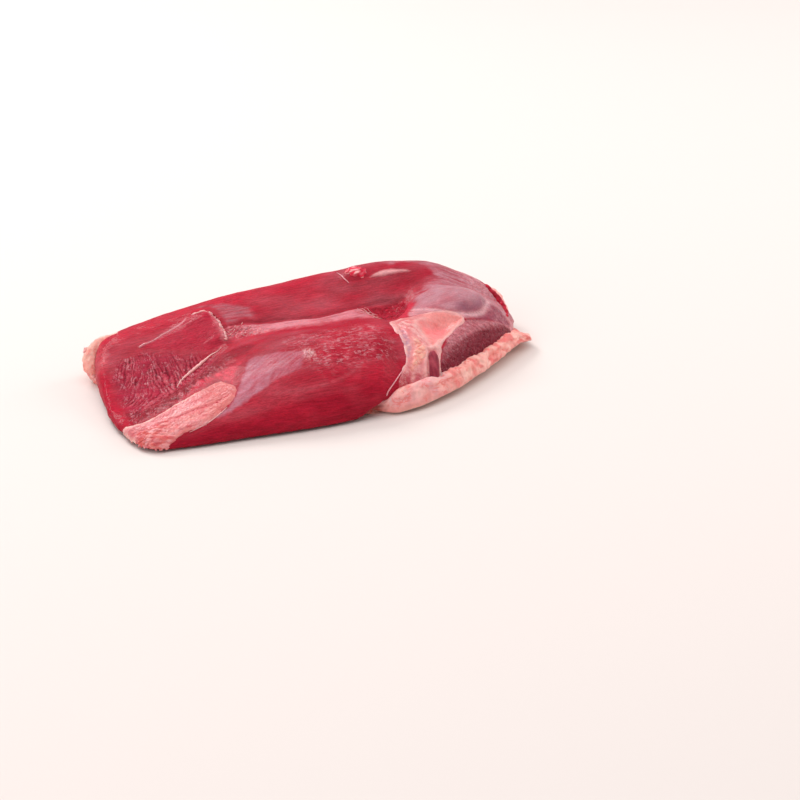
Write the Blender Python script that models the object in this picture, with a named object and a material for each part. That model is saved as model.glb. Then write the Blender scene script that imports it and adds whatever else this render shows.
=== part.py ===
"""Raw duck breast fillet, lying skin side down with its flesh side up.

The fillet is one breast muscle on the layer of skin and fat that it was cut off the bird with.
Its long axis is X, with the tail end at -X and the wing end at +X. The keel edge is at +Y, the
outer edge at -Y, and it rests on its skin at z = 0. Lengths in the tables below are millimetres.
"""

import math

import bmesh
import bpy

MM = 0.001

# Driving dimensions.
MUSCLE_TAIL_X = -95.0
MUSCLE_WING_X = 93.5
SKIN_TAIL_X = -92.0
SKIN_WING_X = 95.5
GAP = 0.8  # kept between the muscle and the skin, which are separate solids

# Lengthwise lines of the muscle, as (x, value) pairs that a smooth curve runs through.
FRONT_Y = (
    (-95, -15), (-94, -22), (-91.6, -31), (-86, -38), (-50, -44), (-10, -48.5), (6, -48.8),
    (16, -46.5), (28, -45), (42, -41), (60, -31.5), (76, -21.5), (87, -10), (93.5, 2),
)
RIDGE_Y = (
    (-95, -11), (-85, -18), (-62, -13), (-40, -8), (-15, -14),
    (15, -17), (35, -16), (60, -6), (80, -2), (93.5, 7),
)
RIDGE_Z = (
    (-95, 4.8), (-80, 8.8), (-62, 14), (-40, 21), (-15, 25.5),
    (15, 26), (35, 24.5), (60, 26.5), (78, 20.5), (93.5, 9),
)
TROUGH_Y = (
    (-95, -4), (-78, 2), (-62, 7), (-40, 14), (-15, 18),
    (15, 17), (45, 17), (70, 12), (93.5, 11),
)
TROUGH_Z = (
    (-95, 5.2), (-78, 7.0), (-62, 9.4), (-40, 16.5), (-15, 20.5), (15, 21.5), (42, 23),
    (60, 27), (80, 20.5), (93.5, 10.5),
)
CREST_Y = (
    (-95, 0), (-93.5, 14), (-91, 29), (-85, 41), (-60, 45), (-30, 44), (0, 42),
    (30, 38), (48, 33), (62, 28.5), (80, 25.5), (93.5, 18),
)
CREST_Z = (
    (-95, 6), (-93.5, 8.5), (-91, 13), (-84, 18.2), (-60, 22.5), (-30, 26.5), (0, 28.5),
    (30, 31), (48, 32.5), (62, 31.4), (76, 26), (87, 20), (93.5, 14),
)
BACK_Y = (
    (-95, 3), (-94, 15), (-92, 30), (-89.5, 39.5), (-84, 46.5), (-70, 49.5), (-40, 50.5),
    (0, 49.5), (35, 46.5), (60, 41), (80, 33.4), (89, 28), (93.5, 22),
)

# How square the long walls are: 2 is a quarter ellipse, more is squarer and less is slacker.
FRONT_SQUARENESS = ((-95, 2.2), (0, 2.3), (30, 1.7), (60, 1.6), (93.5, 1.5))
BACK_SQUARENESS = 3.6

# Where the muscle's rim hangs down past the skin and touches the table.
RIM_Z = 0.8
RIM_SLOPE = 5.0

# Local forms on the flesh: x, y, half length, half width, turn in degrees, height.
LANDFORMS = {
    "tail_channel": (-60, 4, 22, 6, 28, -1.8),
    "fat_band": (-68, -15, 24, 4.5, 16, 1.3),
    "outer_lobe": (-6, -33, 30, 9, -4, 1.2),
    "keel_nodule": (31, 36, 3.6, 3.4, 0, 2.2),
    "keel_notch": (24.5, 38, 2.6, 4.5, 0, -1.6),
    "valley_end_pit": (38, 11, 10, 5.5, -12, -4.0),
    "membrane_crease": (24, -30, 3.4, 17, -17, -3.2),
    "fat_pocket": (33, -32, 6, 9, -12, -1.8),
    "joint_hollow": (49, -19, 9, 6, 18, -5.0),
    "silver_bulge": (66, -2, 14, 8, 12, 2.6),
    "wing_crease": (75, -12, 20, 2.8, 27, -3.4),
    "wing_block": (63, -26, 18, 6.5, 27, 3.6),
    "wing_hollow": (80, 8, 9, 5, 20, -1.2),
}

# The raised layer over the trough: its torn edge as (y, x) pairs, and its keel side as (x, y).
STEP_X = ((10, -33), (18, -35), (25, -35.5), (29, -36.5), (33, -38), (36, -42), (38, -47))
STEP_KEEL_Y = ((-80, 28), (-72, 30), (-62, 31.5), (-52, 32.5), (-46, 35.5), (-42, 37))
STEP_HEIGHT = 2.2
STEP_EDGE = 3.0

# The skin's outline. It thins out towards the tail end, where the muscle reaches past it. Its outer
# edge curls up off the table at the wing end, and its keel corner at the tail end is folded up
# against the muscle.
SKIN_THICKNESS = ((-92, 2.4), (-80, 2.9), (-55, 4.0))
SKIN_FRONT_Y = (
    (-92, 42), (-90.5, 38), (-89, 30), (-87, 15), (-84, 0), (-81, -12), (-76, -23), (-69, -31), (-50, -36.5),
    (-10, -42),
    (2, -43), (13, -51), (24, -52), (45, -46.5), (60, -38.5), (75, -29.5), (90, -19),
    (95.5, -14),
)
SKIN_BACK_Y = (
    (-92, 47), (-90.5, 50), (-87, 51.5), (-40, 52), (0, 51), (35, 48.5), (60, 43.5),
    (80, 36), (89, 30), (93, 20), (95.5, 5),
)
CURL_LIFT = ((8, 0), (40, 2.2), (75, 4), (95, 6))
CURL_WIDTH = 15.0
ROLL_FAT = ((6, 0), (14, 3.0), (30, 3.6), (60, 2.8), (80, 2.0), (95, 0.6))
ROLL_WIDTH = 6.5
ROUND_EDGE = 2.6
FOLD_HEIGHT = ((26, 0.5), (34, 3.5), (42, 5.5), (48, 7.5), (52, 8.5))
FOLD_LIFT = 6.0
FOLD_START = 2.3
FOLD_WALL = 3.4
FOLD_X = -74.0

# How finely the two solids are divided.
MUSCLE_STATIONS = 58
SKIN_STATIONS = 51
SKIN_STEPS = (0, 1.5, 3, 4.7, 6.6, 8.7, 11, 14, 16.5)  # from either edge of the skin inwards

MUSCLE_COLOUR = (0.42, 0.035, 0.055, 1.0)
SKIN_COLOUR = (0.80, 0.42, 0.36, 1.0)


def along(table, x):
    """The value at x of the smooth curve through a table's points, which never overshoots them."""
    if x <= table[0][0]:
        return float(table[0][1])
    if x >= table[-1][0]:
        return float(table[-1][1])
    slopes = [(b[1] - a[1]) / (b[0] - a[0]) for a, b in zip(table, table[1:])]
    tangents = [slopes[0]]
    for left, right in zip(slopes, slopes[1:]):
        tangents.append(0.0 if left * right <= 0 else 2 * left * right / (left + right))
    tangents.append(slopes[-1])
    i = max(k for k in range(len(table) - 1) if table[k][0] <= x)
    (x0, y0), (x1, y1) = table[i], table[i + 1]
    run = x1 - x0
    t = (x - x0) / run
    return (
        (2 * t**3 - 3 * t**2 + 1) * y0
        + (t**3 - 2 * t**2 + t) * run * tangents[i]
        + (3 * t**2 - 2 * t**3) * y1
        + (t**3 - t**2) * run * tangents[i + 1]
    )


def smooth(t):
    """0 below 0, 1 above 1, and an S curve between them."""
    t = min(1.0, max(0.0, t))
    return t * t * (3 - 2 * t)


def landforms(x, y):
    """The height that the local forms and the raised layer add at a place on the flesh."""
    total = 0.0
    for cx, cy, half_length, half_width, turn, height in LANDFORMS.values():
        angle = math.radians(turn)
        dx, dy = x - cx, y - cy
        u = (dx * math.cos(angle) + dy * math.sin(angle)) / half_length
        v = (dy * math.cos(angle) - dx * math.sin(angle)) / half_width
        total += height * math.exp(-(u * u + v * v))
    before_tear = 1 - smooth((x - along(STEP_X, y)) / STEP_EDGE + 0.5)
    inside_keel = 1 - smooth((y - along(STEP_KEEL_Y, x)) / STEP_EDGE + 0.5)
    return total + STEP_HEIGHT * before_tear * inside_keel * smooth((x + 80) / 35) * smooth((y - 8) / 9)


def stations(start, end, count):
    """Places along X, a little closer together towards both ends."""
    places = []
    for i in range(count):
        even = i / (count - 1)
        eased = 0.5 - 0.5 * math.cos(math.pi * even)
        places.append(start + (end - start) * (0.45 * even + 0.55 * eased))
    return places


def outside_muscle(x, y):
    """How far a place is outside the muscle's outline round the keel corner of its tail end."""
    if x > MUSCLE_TAIL_X and y < along(BACK_Y, x):
        return 0.0
    outline = [(MUSCLE_TAIL_X + step, along(BACK_Y, MUSCLE_TAIL_X + step)) for step in range(0, 26)]
    outline += [(MUSCLE_TAIL_X, outline[0][1] - step) for step in range(1, 20)]
    return min(math.hypot(x - px, y - py) for px, py in outline)


def fold_share(x, y):
    """1 on the skin that is folded up at the tail's keel corner, and 0 away from it."""
    return smooth((outside_muscle(x, y) - FOLD_START) / FOLD_WALL) * smooth((FOLD_X - x) / 10)


def skin_lift(x, y):
    """How far the skin's underside is off the table."""
    curl = along(CURL_LIFT, x) * smooth((along(SKIN_FRONT_Y, x) + CURL_WIDTH - y) / CURL_WIDTH)
    return curl + FOLD_LIFT * fold_share(x, y - 1.5)


def skin_top(x, y):
    """The upper face of the skin and fat."""
    roll = along(ROLL_FAT, x) * math.exp(-(((y - along(SKIN_FRONT_Y, x)) / ROLL_WIDTH) ** 2))
    curl = along(CURL_LIFT, x) * smooth((along(SKIN_FRONT_Y, x) + CURL_WIDTH - y) / CURL_WIDTH)
    fold = (FOLD_LIFT + along(FOLD_HEIGHT, y)) * fold_share(x, y)
    return curl + along(SKIN_THICKNESS, x) + roll + fold


def skin_reach(x):
    """Where the muscle's lower face starts to drop past the skin's outer edge."""
    return min(along(SKIN_FRONT_Y, x + step) for step in (-3, 0, 3)) - 1


def muscle_underside(x, y):
    """The muscle's lower face: on the skin, but hanging down to the table round its outer rim."""
    on_skin = smooth((RIM_SLOPE - (skin_reach(x) - y)) / RIM_SLOPE)
    return RIM_Z + (skin_top(x, max(y, along(SKIN_FRONT_Y, x))) + GAP - RIM_Z) * on_skin


def muscle_ring(x):
    """One closed cross-section of the muscle, as (y, z) points: up the front, over, and back under."""
    front, ridge, trough = along(FRONT_Y, x), along(RIDGE_Y, x), along(TROUGH_Y, x)
    crest, back = along(CREST_Y, x), along(BACK_Y, x)
    ridge_z, trough_z, crest_z = along(RIDGE_Z, x), along(TROUGH_Z, x), along(CREST_Z, x)
    squareness = along(FRONT_SQUARENESS, x)
    ring = []
    foot_z = muscle_underside(x, front)
    for k in range(10):
        angle = math.radians(90 * (1 - k / 10))
        across = math.sin(angle) ** (2 / squareness)
        upward = math.cos(angle) ** (2 / squareness)
        y = ridge + (front - ridge) * across
        ring.append((y, foot_z + (ridge_z - foot_z) * upward, upward))
    for k in range(8):
        t = k / 8
        ring.append((ridge + (trough - ridge) * t, ridge_z + (trough_z - ridge_z) * smooth(t), 1.0))
    for k in range(8):
        t = k / 8
        ring.append((trough + (crest - trough) * t, trough_z + (crest_z - trough_z) * smooth(t), 1.0))
    foot_z = muscle_underside(x, back)
    for k in range(8):
        angle = math.radians(90 * k / 7)
        across = math.sin(angle) ** (2 / BACK_SQUARENESS)
        upward = max(0.0, math.cos(angle)) ** (2 / BACK_SQUARENESS)
        y = crest + (back - crest) * across
        ring.append((y, foot_z + (crest_z - foot_z) * upward, upward))
    points = [(y, z + landforms(x, y) * share) for y, z, share in ring]
    drop_y = max(front + RIM_SLOPE + 2, min(back - 8, skin_reach(x)))
    under = [back - 0.8, back - 3] + [back - 3 + (drop_y - back + 3) * share for share in (0.3, 0.65, 1)]
    under += [drop_y - RIM_SLOPE * share for share in (0.25, 0.5, 0.75, 1)] + [front + 0.8]
    return points + [(y, muscle_underside(x, y)) for y in under]


def skin_ring(x):
    """One closed cross-section of the skin and fat, as (y, z) points."""
    front, back = along(SKIN_FRONT_Y, x), along(SKIN_BACK_Y, x)
    edge = min(ROUND_EDGE, (back - front) / 5)
    reach = min(1.0, (back - front - 2 * edge) / 34)
    across = [front + edge + distance * reach for distance in SKIN_STEPS]
    across += [back - edge - distance * reach for distance in reversed(SKIN_STEPS)]
    upper = [(y, skin_top(x, y)) for y in across]
    lower = [(y, skin_lift(x, y)) for y in reversed(across)]
    rounded = []
    for end, (y, top), bottom in ((-1, upper[0], lower[-1][1]), (1, upper[-1], lower[0][1])):
        middle, half = (top + bottom) / 2, (top - bottom) / 2
        for degrees in (-54, -18, 18, 54):
            angle = math.radians(degrees) * -end
            rounded.append((y + end * edge * math.cos(angle), middle + half * math.sin(angle)))
    return rounded[:4] + upper + rounded[4:] + lower


def rounded_ends(rings):
    """The same sections with a smaller one added beyond each end, so that the ends are rounded."""
    ended = list(rings)
    for place, (x, ring), outward in ((0, rings[0], -1), (len(rings) + 1, rings[-1], 1)):
        middle_y = sum(y for y, z in ring) / len(ring)
        middle_z = sum(z for y, z in ring) / len(ring)
        smaller = [(y + (middle_y - y) * 0.08, z + (middle_z - z) * 0.3) for y, z in ring]
        ended.insert(place, (x + outward * 0.8, smaller))
    return ended


def loft(name, rings, middle, colour, roughness):
    """A closed solid through (x, ring) sections, placed about the middle of the whole fillet."""
    shape = bmesh.new()
    rows = []
    for x, ring in rings:
        rows.append([shape.verts.new(((x - middle[0]) * MM, (y - middle[1]) * MM, z * MM)) for y, z in ring])
    for here, beyond in zip(rows, rows[1:]):
        for k in range(len(here)):
            after = (k + 1) % len(here)
            shape.faces.new((here[k], beyond[k], beyond[after], here[after]))
    shape.faces.new(rows[0])
    shape.faces.new(list(reversed(rows[-1])))
    mesh = bpy.data.meshes.new(name)
    shape.to_mesh(mesh)
    shape.free()
    mesh.shade_smooth()
    solid = bpy.data.objects.new(name, mesh)
    solid.data.materials.append(finish(name, colour, roughness))
    return solid


def finish(name, colour, roughness):
    """A plain finish in the piece's own colour."""
    material = bpy.data.materials.new(name)
    material.use_nodes = True
    shader = material.node_tree.nodes["Principled BSDF"]
    shader.inputs["Base Color"].default_value = colour
    shader.inputs["Roughness"].default_value = roughness
    shader.inputs["Metallic"].default_value = 0.0
    return material


def main():
    for leftover in list(bpy.data.objects):
        bpy.data.objects.remove(leftover, do_unlink=True)
    fillet = bpy.data.collections.new("duck_breast_fillet")
    bpy.context.scene.collection.children.link(fillet)
    muscle = [(x, muscle_ring(x)) for x in stations(MUSCLE_TAIL_X, MUSCLE_WING_X, MUSCLE_STATIONS)]
    skin = [(x, skin_ring(x)) for x in stations(SKIN_TAIL_X, SKIN_WING_X, SKIN_STATIONS)]
    muscle, skin = rounded_ends(muscle), rounded_ends(skin)
    xs = [x for x, ring in muscle + skin]
    ys = [y for x, ring in muscle + skin for y, z in ring]
    middle = ((min(xs) + max(xs)) / 2, (min(ys) + max(ys)) / 2)
    fillet.objects.link(loft("breast_muscle", muscle, middle, MUSCLE_COLOUR, 0.35))
    fillet.objects.link(loft("skin_and_fat", skin, middle, SKIN_COLOUR, 0.4))


main()
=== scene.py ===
"""Looks of a raw duck breast fillet that lies on its skin, flesh side up, on a pale surface."""

import math
import random

import bpy
import numpy as np
from mathutils import Matrix, Vector, noise
from mathutils.bvhtree import BVHTree


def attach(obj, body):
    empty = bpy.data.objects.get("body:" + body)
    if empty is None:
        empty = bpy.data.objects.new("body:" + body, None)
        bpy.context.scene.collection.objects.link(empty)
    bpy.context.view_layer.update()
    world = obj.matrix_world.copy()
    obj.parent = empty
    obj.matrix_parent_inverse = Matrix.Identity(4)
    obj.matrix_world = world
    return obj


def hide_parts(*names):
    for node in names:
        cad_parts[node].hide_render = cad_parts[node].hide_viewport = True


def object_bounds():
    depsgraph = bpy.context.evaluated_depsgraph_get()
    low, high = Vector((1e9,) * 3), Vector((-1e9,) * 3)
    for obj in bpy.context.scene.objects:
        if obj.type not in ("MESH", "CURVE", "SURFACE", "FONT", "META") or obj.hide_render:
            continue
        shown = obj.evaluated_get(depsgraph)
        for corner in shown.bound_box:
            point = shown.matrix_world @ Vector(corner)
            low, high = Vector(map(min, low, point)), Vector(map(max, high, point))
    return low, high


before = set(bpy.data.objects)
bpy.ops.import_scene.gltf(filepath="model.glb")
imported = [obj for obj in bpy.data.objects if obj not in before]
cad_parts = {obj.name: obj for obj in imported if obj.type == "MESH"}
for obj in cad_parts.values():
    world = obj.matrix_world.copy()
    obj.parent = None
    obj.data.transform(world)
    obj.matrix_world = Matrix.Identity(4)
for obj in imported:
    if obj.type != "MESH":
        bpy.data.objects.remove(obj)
cad_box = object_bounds()

# Breast muscle.
# One whole muscle, cut off the breastbone in one piece, moist and dark red, with its fibres running
# lengthwise. It starts as the CAD body, and its grooves, folds and torn layers are worked into it.

MM = 0.001
MEAT_VOXEL = 0.79
MEAT_SWELL = 0.28
BOTTOM_KEPT = 0.07
RIM_WIDTH, RIM_PASSES = 4.5, 35
DOUBLES = 0.01
BOX_GAP = 0.05


def only(piece):
    """Selects one piece, and makes it the active one."""
    bpy.ops.object.select_all(action="DESELECT")
    piece.select_set(True)
    bpy.context.view_layer.objects.active = piece


def modify(piece, kind, **settings):
    """Applies a modifier with these settings."""
    only(piece)
    modifier = piece.modifiers.new(kind.lower(), kind)
    for key, value in settings.items():
        setattr(modifier, key, value)
    bpy.ops.object.modifier_apply(modifier=modifier.name)


def soften(piece, passes):
    """Evens out a mesh."""
    modify(piece, "SMOOTH", factor=0.5, iterations=passes)


def remesh(piece, voxel, passes):
    """Gives a closed piece an even mesh with faces of a size in mm, and evens it out."""
    modify(piece, "REMESH", mode="VOXEL", voxel_size=voxel * MM)
    soften(piece, passes)


def edit(piece, operator, chosen=None, others=False, **settings):
    """Runs an edit-mode operator on all faces, on those whose corners are all chosen, or on the others."""
    only(piece)
    bpy.context.tool_settings.mesh_select_mode = (False, False, True)
    bpy.ops.object.mode_set(mode="EDIT")
    bpy.ops.mesh.select_all(action="SELECT" if chosen is None else "DESELECT")
    bpy.ops.object.mode_set(mode="OBJECT")
    if chosen is not None:
        mesh = piece.data
        corners = np.zeros(len(mesh.loops), dtype=np.int32)
        mesh.loops.foreach_get("vertex_index", corners)
        starts = np.zeros(len(mesh.polygons), dtype=np.int32)
        mesh.polygons.foreach_get("loop_start", starts)
        mesh.polygons.foreach_set("select", np.logical_and.reduceat(chosen[corners], starts) != others)
    bpy.ops.object.mode_set(mode="EDIT")
    operator(**settings)
    bpy.ops.object.mode_set(mode="OBJECT")


def copy_of(mesh, name):
    """A new piece with its own copy of a mesh, and no material yet."""
    piece = bpy.data.objects.new(name, mesh.copy())
    piece.data.materials.clear()
    bpy.context.scene.collection.objects.link(piece)
    return piece


def fine_copy(node, name, voxel, passes):
    """A closed copy of a CAD node with a fine, even mesh and no facets."""
    piece = copy_of(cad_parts[node].data, name)
    edit(piece, bpy.ops.mesh.remove_doubles, threshold=DOUBLES * MM)
    remesh(piece, voxel, passes)
    return piece


def places(piece):
    """Every vertex's place in mm."""
    values = np.zeros(len(piece.data.vertices) * 3)
    piece.data.vertices.foreach_get("co", values)
    return values.reshape(-1, 3) / MM


def facing(piece):
    """Every vertex's outward direction."""
    values = np.zeros(len(piece.data.vertices) * 3)
    piece.data.vertex_normals.foreach_get("vector", values)
    return values.reshape(-1, 3)


def push(piece, place):
    """Moves the vertices to new places in mm, kept inside the CAD box."""
    low, high = (np.array(corner) / MM for corner in cad_box)
    inside = np.clip(place, low + BOX_GAP, high - BOX_GAP)
    piece.data.vertices.foreach_set("co", (inside * MM).ravel())
    piece.data.update()
    only(piece)
    bpy.ops.object.shade_smooth()


def swell(piece, rise):
    """Moves every vertex outward by its own rise in mm."""
    push(piece, places(piece) + facing(piece) * rise[:, None])


def ease(t):
    """0 below 0, 1 above 1, and an S curve between them."""
    t = np.clip(t, 0, 1)
    return t * t * (3 - 2 * t)


def peak(distance, width):
    """1 at no distance, and fading to 0 at about twice a width."""
    return np.exp(-((distance / width) ** 2))


def lumps(place, size, seed):
    """Smooth random values of about -1 to 1; size is a lump's length in mm, or its x, y and z lengths."""
    scaled = place / np.array(size, dtype=float) + seed * 7.31
    return 1.6 * np.array([noise.noise(p) for p in scaled.tolist()])


def creases(place, size, seed):
    """Sharp valleys between rounded ridges, 0 in the valleys and 1 on the ridges."""
    return np.minimum(1, 2.2 * np.abs(lumps(place, size, seed)))


def ridges(place, spacing, wander, seed):
    """Rows of wavy ridges a spacing apart across x, 0 in the valleys between them and 1 on top."""
    drift = wander * (lumps(place, (7, 9, 9), seed) + 0.45 * lumps(place, (2.6, 4, 4), seed + 1))
    return np.abs(np.sin(math.pi * (place[:, 0] + drift) / spacing)) ** 0.7


def wrinkles(place, degrees, length, width, seed):
    """Short branching creases that run along a direction in plan, 0 in them and 1 between them."""
    drift = np.stack([lumps(place, 5, seed + i) for i in (1, 2, 3)], axis=1)
    moved = turned(place + 1.3 * drift, degrees)
    coarse = np.minimum(1, 4.5 * np.abs(lumps(moved, (length, width, 1.6 * width), seed))) ** 0.7
    small = np.minimum(1, 3 * np.abs(lumps(moved, (0.45 * length, 0.5 * width, width), seed + 4))) ** 0.7
    return 0.65 * coarse + 0.35 * small


def folds(place, lean, spacing, wander, seed):
    """Long wavy creases side by side, 0 in them and 1 between them; lean is their x step per mm of y."""
    across = place[:, 0] - lean * (place[:, 1] - 5)
    moved = np.stack([across, place[:, 1], place[:, 2]], axis=1)
    drift = lumps(moved, (5, 10, 8), seed) + 0.35 * lumps(moved, (1.8, 3.5, 3), seed + 1)
    return np.abs(np.sin(math.pi * (across + wander * drift) / spacing)) ** 0.45


def turned(place, degrees):
    """The same places turned about Z, so that their x runs along that direction."""
    angle = math.radians(degrees)
    x = place[:, 0] * math.cos(angle) + place[:, 1] * math.sin(angle)
    y = place[:, 1] * math.cos(angle) - place[:, 0] * math.sin(angle)
    return np.stack([x, y, place[:, 2]], axis=1)


def curve_through(points, closed=False, steps=5):
    """A smooth line through a few points."""
    points = [np.array(p, dtype=float) for p in points]
    count = len(points)
    line = []
    for i in range(count if closed else count - 1):
        before = points[i - 1] if closed or i > 0 else points[0]
        start, end = points[i], points[(i + 1) % count]
        after = points[(i + 2) % count] if closed or i + 2 < count else points[-1]
        for step in range(steps):
            t = step / steps
            line.append(
                0.5 * (2 * start + (end - before) * t
                       + (2 * before - 5 * start + 4 * end - after) * t * t
                       + (3 * start - before - 3 * end + after) * t**3)
            )
    if not closed:
        line.append(points[-1])
    return line


def away(line, place):
    """How far each place is from a line, in plan, in mm."""
    nearest = np.full(len(place), 1e9)
    for start, end in zip(line, line[1:]):
        run = end - start
        t = np.clip(((place[:, :2] - start) @ run) / max(run @ run, 1e-9), 0, 1)
        nearest = np.minimum(nearest, np.hypot(*(place[:, :2] - start - t[:, None] * run).T))
    return nearest


def within(points, place):
    """How far inside a closed outline each place is, in plan, in mm; negative outside."""
    line = curve_through(points, closed=True)
    line.append(line[0])
    crossings = np.zeros(len(place), dtype=int)
    x, y = place[:, 0], place[:, 1]
    for (x0, y0), (x1, y1) in zip(line, line[1:]):
        spans = (y0 > y) != (y1 > y)
        if y0 != y1:
            crossings += spans & (x < x0 + (y - y0) * (x1 - x0) / (y1 - y0))
    return away(line, place) * np.where(crossings % 2 == 1, 1, -1)


def groove(line, place, width):
    """1 along a line, and fading to 0 at about twice a width to either side."""
    return peak(away(curve_through(line), place), width)


# Outlines and lines on the flesh, in plan, in mm from the fillet's middle.
TROUGH = (
    (-89, 21), (-81, 28), (-72, 28), (-62, 25), (-55, 20), (-47, 15), (-43, 10), (-46, -3), (-49, 1),
    (-57, 0), (-67, -6), (-80, -12), (-91, -17), (-92, -2), (-91, 12),
)
DARK_FLOOR = (
    (-92, -2), (-93.5, -19), (-85, -23), (-73, -21.5), (-62, -19), (-55, -16), (-44, -10), (-34, -9),
    (-28, -2), (-32, 7), (-40, 9), (-46, 8), (-54, 3), (-68, -3), (-84, -9),
)
SLAB = (
    (-72, 30), (-66, 32), (-56, 34.5), (-46, 37.5), (-40, 36.5), (-36.8, 31.5), (-36, 25), (-36, 19),
    (-40, 13), (-47, 15.5), (-56.5, 21), (-66, 25.5),
)
TAIL_RIM = ((-87, 38), (-90, 31), (-92, 22), (-93, 9), (-93, -7), (-93, -17))
SLAB_EDGE = (
    (-71.6, 30.3), (-68.8, 31), (-65.2, 31.5), (-60.6, 32.9), (-55.6, 34), (-51.6, 34.9), (-48, 37),
)
TORN_EDGE = (
    (-48, 37.6), (-44, 37.4), (-40, 36.4), (-37.3, 34), (-36.4, 30), (-36.2, 25), (-36, 20.5), (-37, 16.5),
)
TORN_FLESH = (
    (-36.5, 18), (-34, 26.2), (-30, 27), (-26, 25.6), (-20, 22.5), (-18, 16), (-20.5, 11.5), (-28, 15),
    (-33, 17),
)
FAN = ((-26, 15), (-24.5, 21), (-19, 22), (-16, 15), (-19.5, 10))
STREAKED = (
    (-46, 43), (-39, 43.4), (-32.7, 42), (-22.8, 37), (-18.7, 32.8), (-19, 25.5), (-26, 26.5), (-32.5, 27),
    (-34.5, 34), (-38, 40),
)
VALLEY = (
    (-36, 24), (-34, 25.5), (-27, 26), (-19, 23.7), (-6, 20), (7, 16.4), (14.4, 16.4), (26, 17.2),
    (35, 17.6), (45, 14.7),
)
PALE_BAND = (
    (-27, 25), (-19, 23), (-6, 19.3), (7, 15.7), (14.4, 15.8), (26, 16.5), (26.5, 8), (28, 0), (33, -9),
    (26, -3), (17.4, 1), (7, 5.5), (2, 4.2), (-10, 7.3), (-19, 10.6), (-26, 14.5),
)
RED_VEIL = (
    (-73, -21.5), (-66, -20), (-58, -18.6), (-52.5, -18), (-48, -25.5), (-43, -20), (-38, -13.4),
    (-36, -9.5), (-42, -11), (-49, -11.5), (-57, -11), (-66, -15.5),
)
SILVERSKIN = (
    (-47, -28), (-42.5, -21), (-38.4, -15), (-33.8, -12.6), (-28, -14.6), (-23, -17.5), (-18, -20),
    (-13.5, -24), (-19.4, -32.9), (-25.3, -33.3), (-34.7, -34), (-40, -35.2), (-49.3, -37), (-57, -37.6),
    (-66, -37.6), (-60, -36), (-52, -33),
)
CRINKLED = (
    (-16, -2), (4, -4), (23, -9), (28, -22), (22, -37), (4, -42), (-14, -40), (-23, -28), (-23, -12),
)
PIT = (
    (26.6, 13), (30, 16.6), (34.4, 16.8), (40.2, 16.2), (44.6, 14.5), (45.5, 10.7), (42, -1), (36.4, -6.5),
    (31.5, -7.3), (27.2, -4.8), (25.6, 1.4),
)
RED_CORD = ((45.5, 9), (48, 5), (43.5, -2), (39.3, -9.5), (34.5, -11.5), (33, -8.5), (38, -3), (42, 2))
BULGE = (
    (46, 4), (50, 10), (56, 11), (64, 12), (73, 12.5), (80, 9), (81.5, 4), (78, -3.5), (73, -9.4),
    (66.4, -13.3), (61.8, -13.9), (56, -12.6), (48, -7), (42, -5), (42.5, -1),
)
BULGE_LIP = (
    (40, -5), (44, -5), (50, -8), (57, -12.5), (63, -14.5), (67, -15), (61, -17), (53, -12), (44, -10.3),
    (38, -9.5),
)
BULGE_FOOT_SHADOW = (
    (60, -14.5), (64, -13.4), (67, -12.5), (75, -8), (81, -1), (86, -1), (89, -5), (84, -10), (76, -12.8),
    (67, -15.5), (61, -17),
)
BULGE_RIM = (
    (42.5, -4), (48, -7.5), (56, -13), (61.8, -14.3), (66.4, -13.6), (73, -9.8), (78, -4), (81.5, 3.5),
    (80.5, 8),
)
DOME = ((62, 2), (66, 6), (74, 7), (80.5, 4.5), (77, -4), (72.5, -9), (66.5, -12.6), (62, -12.4), (59, -6))
KEEL_FILM = (
    (46, 37), (56, 35.5), (62, 34), (70, 31.5), (80, 27), (90, 20), (95, 8), (93, 0), (86, -8), (77, -12),
    (71, -10), (72, 2), (60, 2), (48, 1), (43, 7), (47, 13.5), (58, 18), (61, 23), (57, 29), (47, 32),
)
BLOCK = (
    (60, -17), (67.5, -14.6), (75, -12.5), (84, -9), (91, -6), (92, -12), (84, -22), (72, -30), (60, -37),
    (50, -43), (42, -46), (38.3, -41.4), (39, -38.9), (42.5, -34), (47, -29), (52, -23),
)
HOLLOW = (
    (40, -13.4), (47, -12.2), (54, -13.4), (60.6, -16.4), (57, -19.6), (52.2, -23), (46.8, -28.2),
    (42, -31.5), (39.6, -31), (39, -26), (38.5, -19),
)
JOINT = (
    (16, -47.4), (17.5, -46), (19, -44.4), (22, -41), (25.5, -37), (27, -31), (28, -24), (29, -16),
    (30, -9), (36, -10), (44, -9.5), (53, -11), (61.5, -16.3), (54, -22.5), (47, -29), (42.5, -34),
    (39.5, -38.5), (38.8, -43), (33, -47), (26, -50.5), (18, -50.5),
)
CREST_SINEW = (
    (35.5, 30), (39.5, 31.3), (45, 30.6), (50, 28.6), (54.5, 25.4), (48.5, 26.4), (43, 27.6), (38.5, 28.8),
)
SOFT_LINE = ((-34, -38.3), (-31.6, -38.7), (-24, -41), (-15.4, -41.9), (-3.8, -41), (3, -39.5))
KNOT = (-13.8, -26)

meat = fine_copy("breast_muscle", "breast_meat", MEAT_VOXEL, passes=7)
edit(meat, bpy.ops.mesh.decimate, facing(meat)[:, 2] < -0.85, ratio=BOTTOM_KEPT)

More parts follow.
